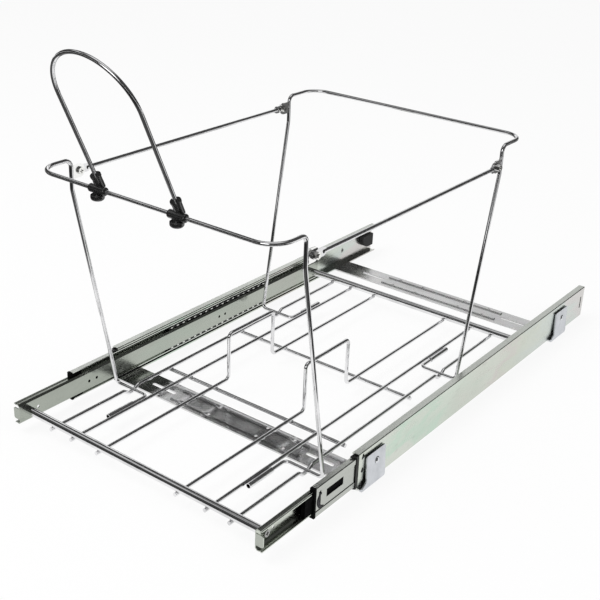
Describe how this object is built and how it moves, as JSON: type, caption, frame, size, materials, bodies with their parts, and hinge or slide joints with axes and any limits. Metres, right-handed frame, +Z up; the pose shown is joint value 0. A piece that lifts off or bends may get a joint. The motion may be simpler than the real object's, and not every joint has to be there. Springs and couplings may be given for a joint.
{
  "type": "pull-out waste bin rack",
  "caption": "Wire pull-out rack for a waste bin: a wire tray and bin frame with an arched handle, on ball-bearing slides joined by floor strips.",
  "frame": {"origin": "on the cabinet floor, midway between the two slides, level with the front ends of their fixed outer members", "axes": "+Z up, +Y back into the cabinet along the slides, -Y the way the rack pulls out, +X across the rack to its right side seen from the front"},
  "size_m": [0.377, 0.7557, 0.4634],
  "materials": {
    "slide_zinc": "pale zinc-plated sheet steel, satin",
    "strip_zinc": "zinc-plated sheet steel, satin",
    "wire_chrome": "bright plated wire",
    "sleeve_chrome": "plated tube",
    "tab_steel": "plated plate",
    "screw_steel": "bright zinc",
    "block_black": "black moulded plastic",
    "cage_black": "black moulded plastic with steel balls",
    "bumper_rubber": "black rubber",
    "clip_black": "glossy black moulded plastic"
  },
  "bodies": {
    "base": {"slide_outer_left": "slide_zinc", "slide_outer_right": "slide_zinc", "ball_cage_outer_left": "cage_black", "ball_cage_outer_right": "cage_black", "rear_bumper_left": "bumper_rubber", "rear_bumper_right": "bumper_rubber", "cross_member_front": "strip_zinc", "cross_member_rear": "strip_zinc"},
    "drawer": {"slide_inner_left": "slide_zinc", "slide_inner_right": "slide_zinc", "tray_bar_front": "wire_chrome", "tray_bar_rear": "wire_chrome", "tray_bar_screws": "screw_steel", "tray_wire_outer_left": "wire_chrome", "tray_wire_outer_right": "wire_chrome", "tray_wire_mid_left": "wire_chrome", "tray_wire_mid_right": "wire_chrome", "tray_wire_inner_left": "wire_chrome", "tray_wire_inner_right": "wire_chrome", "tray_cross_wire_front": "wire_chrome", "tray_cross_wire_rear": "wire_chrome", "bin_frame_front": "wire_chrome", "bin_frame_rear": "wire_chrome", "bin_frame_tabs_front": "tab_steel", "bin_frame_tabs_rear": "tab_steel", "toe_sleeve_front_left": "sleeve_chrome", "toe_sleeve_front_right": "sleeve_chrome", "toe_sleeve_rear_left": "sleeve_chrome", "toe_sleeve_rear_right": "sleeve_chrome", "side_rail_left": "wire_chrome", "side_rail_right": "wire_chrome", "rail_screws": "screw_steel", "rail_nuts": "screw_steel"},
    "handle": {"handle": "wire_chrome", "handle_clip_left": "clip_black", "handle_clip_right": "clip_black"},
    "middle_left": {"slide_middle_left": "slide_zinc", "stop_block_left": "block_black"},
    "cage_left": {"ball_cage_inner_left": "cage_black"},
    "middle_right": {"slide_middle_right": "slide_zinc", "stop_block_right": "block_black"},
    "cage_right": {"ball_cage_inner_right": "cage_black"}
  },
  "joints": [
    {"name": "drawer_slide", "type": "slide", "parent": "base", "child": "drawer", "axis": [0, -1, 0], "range_m": [-0.1287, 0.441]},
    {"name": "middle_slide_left", "type": "slide", "parent": "base", "child": "middle_left", "axis": [0, -1, 0], "range_m": [-0.06445, 0.2206]},
    {"name": "cage_slide_left", "type": "slide", "parent": "base", "child": "cage_left", "axis": [0, -1, 0], "range_m": [-0.09663, 0.33085]},
    {"name": "middle_slide_right", "type": "slide", "parent": "base", "child": "middle_right", "axis": [0, -1, 0], "range_m": [-0.06445, 0.2206]},
    {"name": "cage_slide_right", "type": "slide", "parent": "base", "child": "cage_right", "axis": [0, -1, 0], "range_m": [-0.09663, 0.33085]},
    {"name": "handle_swing", "type": "hinge", "parent": "drawer", "child": "handle", "pos_m": [-0.013, -0.1184, 0.3085], "axis": [1, 0, 0], "range_deg": [-110, 60]}
  ],
  "couplings": [
    {"joint": "middle_slide_left", "follows": "drawer_slide", "ratio": 0.5},
    {"joint": "cage_slide_left", "follows": "drawer_slide", "ratio": 0.75},
    {"joint": "middle_slide_right", "follows": "drawer_slide", "ratio": 0.5},
    {"joint": "cage_slide_right", "follows": "drawer_slide", "ratio": 0.75}
  ]
}
